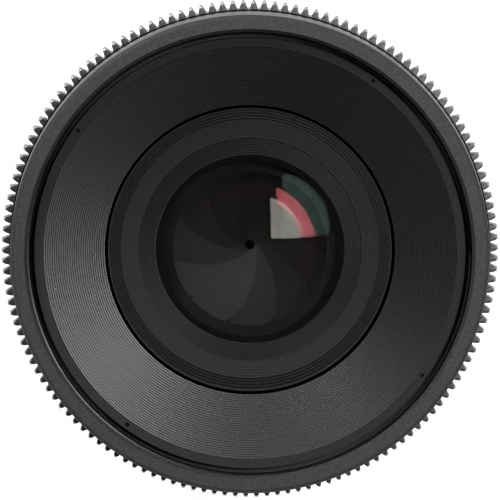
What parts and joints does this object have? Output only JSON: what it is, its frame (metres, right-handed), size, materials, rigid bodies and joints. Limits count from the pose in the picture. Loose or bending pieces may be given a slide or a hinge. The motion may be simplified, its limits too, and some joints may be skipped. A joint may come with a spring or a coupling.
{
  "type": "cinema prime lens",
  "caption": "Round cine lens with geared focus and iris rings, recessed glass in a grooved cone, a bladed iris closed to a pinhole and a bayonet mount.",
  "frame": {"origin": "centre of the mount flange face, on the optical axis", "axes": "+Z along the optical axis towards the front, +X to the right and +Y up as the front is looked at in the picture"},
  "size_m": [0.1184, 0.1184, 0.1075],
  "materials": {
    "anodised_black": "black anodised, fine satin",
    "matte_black": "matte black",
    "bare_aluminium": "turned, dull anodised",
    "stainless": "turned stainless",
    "brass": "plain",
    "black_plastic": "matte",
    "blade_steel": "blackened spring steel",
    "optical_glass": "coated"
  },
  "bodies": {
    "barrel": {"mount_ring": "stainless", "mount_shim": "brass", "mount_screws": "stainless", "rear_baffle": "black_plastic", "rear_barrel": "anodised_black", "main_barrel": "bare_aluminium", "barrel_screws": "stainless", "index_ring": "anodised_black", "front_rim": "anodised_black", "front_baffle": "matte_black"},
    "focus": {"focus_ring": "anodised_black", "focus_gear": "anodised_black", "cam_sleeve": "bare_aluminium", "sleeve_screws": "stainless"},
    "iris": {"iris_ring": "anodised_black", "iris_gear": "anodised_black", "iris_fork": "brass"},
    "optical_unit": {"carriage_tube": "bare_aluminium", "follower_pins": "stainless", "front_bezel": "matte_black", "front_cell": "matte_black", "front_retainer": "matte_black", "front_spacer": "matte_black", "glass_1": "optical_glass", "glass_2": "optical_glass", "glass_3": "optical_glass", "glass_4": "optical_glass", "glass_5": "optical_glass", "glass_6": "optical_glass", "glass_7": "optical_glass", "glass_8": "optical_glass", "iris_base": "bare_aluminium", "iris_snap_ring": "stainless", "rear_cell": "matte_black", "rear_spacer_a": "matte_black", "rear_spacer_b": "matte_black", "rear_spacer_c": "matte_black", "rear_retainer": "matte_black"},
    "iris_drive": {"iris_cam_ring": "brass"},
    "blade_1": {"blade_1": "blade_steel"},
    "blade_2": {"blade_2": "blade_steel"},
    "blade_3": {"blade_3": "blade_steel"},
    "blade_4": {"blade_4": "blade_steel"},
    "blade_5": {"blade_5": "blade_steel"},
    "blade_6": {"blade_6": "blade_steel"},
    "blade_7": {"blade_7": "blade_steel"},
    "blade_8": {"blade_8": "blade_steel"},
    "blade_9": {"blade_9": "blade_steel"},
    "blade_10": {"blade_10": "blade_steel"},
    "blade_11": {"blade_11": "blade_steel"}
  },
  "joints": [
    {"name": "focus_turn", "type": "hinge", "parent": "barrel", "child": "focus", "pos_m": [0, 0, 0.065], "axis": [0, 0, 1], "range_deg": [0, 300]},
    {"name": "focus_travel", "type": "slide", "parent": "barrel", "child": "optical_unit", "axis": [0, 0, 1], "range_m": [0, 0.0078]},
    {"name": "iris_turn", "type": "hinge", "parent": "barrel", "child": "iris", "pos_m": [0, 0, 0.031], "axis": [0, 0, -1], "range_deg": [0, 54]},
    {"name": "iris_drive_turn", "type": "hinge", "parent": "optical_unit", "child": "iris_drive", "pos_m": [0, 0, 0.06775], "axis": [0, 0, -1], "range_deg": [0, 54]},
    {"name": "blade_1_swing", "type": "hinge", "parent": "optical_unit", "child": "blade_1", "pos_m": [0.02129, 0.00015, 0.06634], "axis": [0.1392, 0.001, -0.9903], "range_deg": [0, 42.3]},
    {"name": "blade_2_swing", "type": "hinge", "parent": "optical_unit", "child": "blade_2", "pos_m": [0.01783, 0.01164, 0.06634], "axis": [0.1166, 0.0761, -0.9903], "range_deg": [0, 42.3]},
    {"name": "blade_3_swing", "type": "hinge", "parent": "optical_unit", "child": "blade_3", "pos_m": [0.00871, 0.01943, 0.06634], "axis": [0.0569, 0.127, -0.9903], "range_deg": [0, 42.3]},
    {"name": "blade_4_swing", "type": "hinge", "parent": "optical_unit", "child": "blade_4", "pos_m": [-0.00318, 0.02105, 0.06634], "axis": [-0.0208, 0.1376, -0.9903], "range_deg": [0, 42.3]},
    {"name": "blade_5_swing", "type": "hinge", "parent": "optical_unit", "child": "blade_5", "pos_m": [-0.01405, 0.01599, 0.06634], "axis": [-0.0919, 0.1045, -0.9903], "range_deg": [0, 42.3]},
    {"name": "blade_6_swing", "type": "hinge", "parent": "optical_unit", "child": "blade_6", "pos_m": [-0.02047, 0.00586, 0.06634], "axis": [-0.1338, 0.0383, -0.9903], "range_deg": [0, 42.3]},
    {"name": "blade_7_swing", "type": "hinge", "parent": "optical_unit", "child": "blade_7", "pos_m": [-0.02039, -0.00614, 0.06634], "axis": [-0.1333, -0.0401, -0.9903], "range_deg": [0, 42.3]},
    {"name": "blade_8_swing", "type": "hinge", "parent": "optical_unit", "child": "blade_8", "pos_m": [-0.01383, -0.01619, 0.06634], "axis": [-0.0904, -0.1058, -0.9903], "range_deg": [0, 42.3]},
    {"name": "blade_9_swing", "type": "hinge", "parent": "optical_unit", "child": "blade_9", "pos_m": [-0.00288, -0.02109, 0.06634], "axis": [-0.0188, -0.1379, -0.9903], "range_deg": [0, 42.3]},
    {"name": "blade_10_swing", "type": "hinge", "parent": "optical_unit", "child": "blade_10", "pos_m": [0.00898, -0.0193, 0.06634], "axis": [0.0587, -0.1262, -0.9903], "range_deg": [0, 42.3]},
    {"name": "blade_11_swing", "type": "hinge", "parent": "optical_unit", "child": "blade_11", "pos_m": [0.01799, -0.01139, 0.06634], "axis": [0.1176, -0.0744, -0.9903], "range_deg": [0, 42.3]}
  ],
  "couplings": [
    {"joint": "focus_travel", "follows": "focus_turn", "m_per_rad": 0.0014896},
    {"joint": "iris_drive_turn", "follows": "iris_turn", "ratio": 1},
    {"joint": "blade_1_swing", "follows": "iris_turn", "ratio": 0.78255},
    {"joint": "blade_2_swing", "follows": "iris_turn", "ratio": 0.78255},
    {"joint": "blade_3_swing", "follows": "iris_turn", "ratio": 0.78255},
    {"joint": "blade_4_swing", "follows": "iris_turn", "ratio": 0.78255},
    {"joint": "blade_5_swing", "follows": "iris_turn", "ratio": 0.78255},
    {"joint": "blade_6_swing", "follows": "iris_turn", "ratio": 0.78255},
    {"joint": "blade_7_swing", "follows": "iris_turn", "ratio": 0.78255},
    {"joint": "blade_8_swing", "follows": "iris_turn", "ratio": 0.78255},
    {"joint": "blade_9_swing", "follows": "iris_turn", "ratio": 0.78255},
    {"joint": "blade_10_swing", "follows": "iris_turn", "ratio": 0.78255},
    {"joint": "blade_11_swing", "follows": "iris_turn", "ratio": 0.78255}
  ]
}
